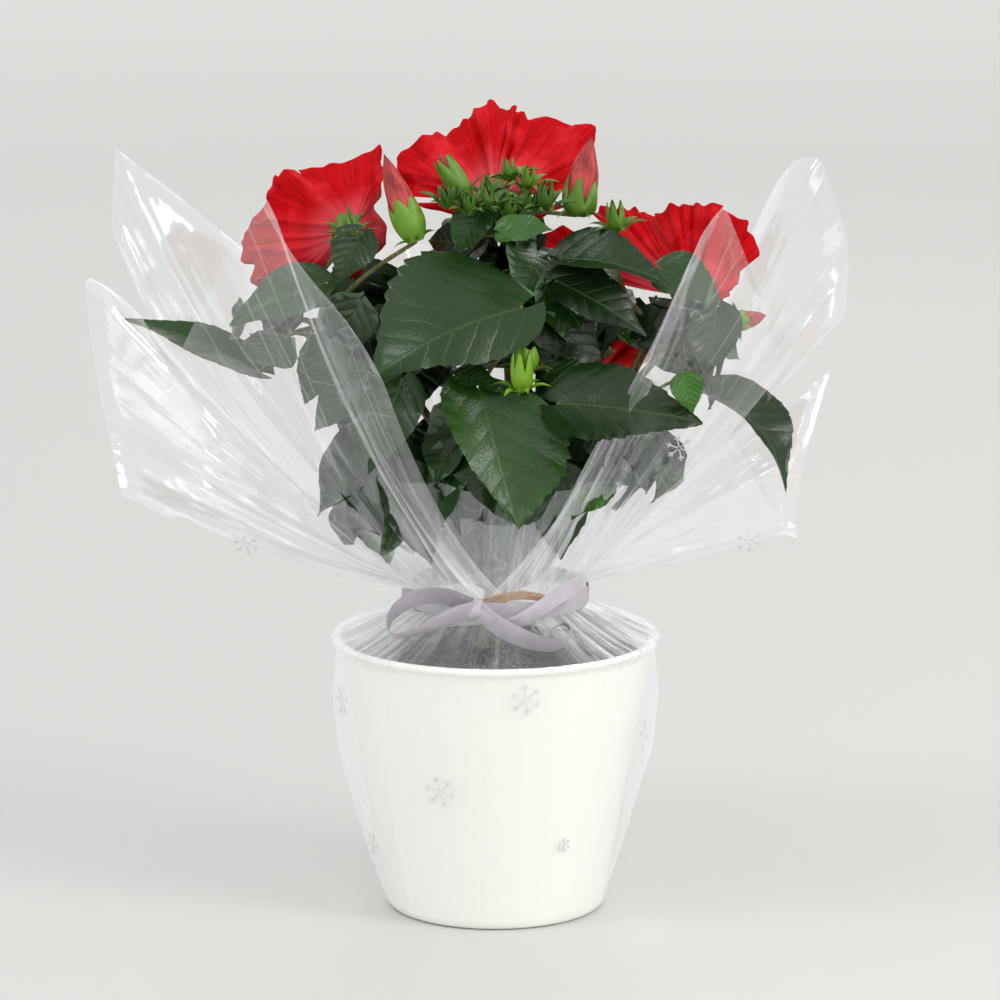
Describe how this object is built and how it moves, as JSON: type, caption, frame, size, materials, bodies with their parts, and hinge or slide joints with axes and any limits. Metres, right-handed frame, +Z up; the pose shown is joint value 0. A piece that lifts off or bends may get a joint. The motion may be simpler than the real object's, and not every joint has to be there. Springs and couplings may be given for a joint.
{
  "type": "potted hibiscus shrub",
  "caption": "Red-flowered hibiscus shrub in a tapered cover pot, wrapped in clear film tied at the neck with a satin bow.",
  "frame": {"origin": "centre of the pot's flat underside, on the floor", "axes": "+Z up the pot's axis, -Y towards the front with the bow, +X to the right as seen from the front"},
  "size_m": [0.3626, 0.2329, 0.388],
  "materials": {
    "pot": "cream enamel, satin gloss",
    "peat": "dark moist peat, rough and crumbly",
    "bark": "olive brown young bark, slightly ridged",
    "leaf": "dark green leaf, glossy above, greyer below",
    "petal": "red petal, satin, paler throat",
    "bud": "fresh green calyx with a furled red tip",
    "film": "clear wrapping film, high gloss, creased",
    "ribbon": "grey lilac satin"
  },
  "bodies": {
    "root": {"bloom_back": "petal", "bloom_left": "petal", "bloom_right": "petal", "bloom_top": "petal", "bough_back_left": "bark", "bough_back_right": "bark", "bough_centre": "bark", "bough_left": "bark", "bough_right": "bark", "bud_back": "bud", "bud_centre": "bud", "bud_front": "bud", "bud_left": "bud", "bud_low_right": "bud", "bud_right": "bud", "film_back": "film", "film_left_front": "film", "film_left_high": "film", "film_left_low": "film", "film_right_front": "film", "film_right_high": "film", "film_right_low": "film", "film_skirt_back": "film", "film_skirt_front": "film", "film_skirt_left": "film", "film_skirt_right": "film", "film_sleeve": "film", "leaf_back_left": "leaf", "leaf_back_right": "leaf", "leaf_far_left": "leaf", "leaf_far_right": "leaf", "leaf_front_high": "leaf", "leaf_front_low": "leaf", "leaf_right_low": "leaf", "leaf_upper_right": "leaf", "leaves_back_left": "leaf", "leaves_back_low": "leaf", "leaves_back_right": "leaf", "leaves_centre_high": "leaf", "leaves_front_low": "leaf", "leaves_left_high": "leaf", "leaves_left_low": "leaf", "leaves_right_high": "leaf", "leaves_right_low": "leaf", "leaves_top": "leaf", "pot": "pot", "ribbon_band": "ribbon", "ribbon_knot": "ribbon", "ribbon_loop_left": "ribbon", "ribbon_loop_right": "ribbon", "ribbon_tail": "ribbon", "soil": "peat", "trunk": "bark"}
  },
  "joints": []
}
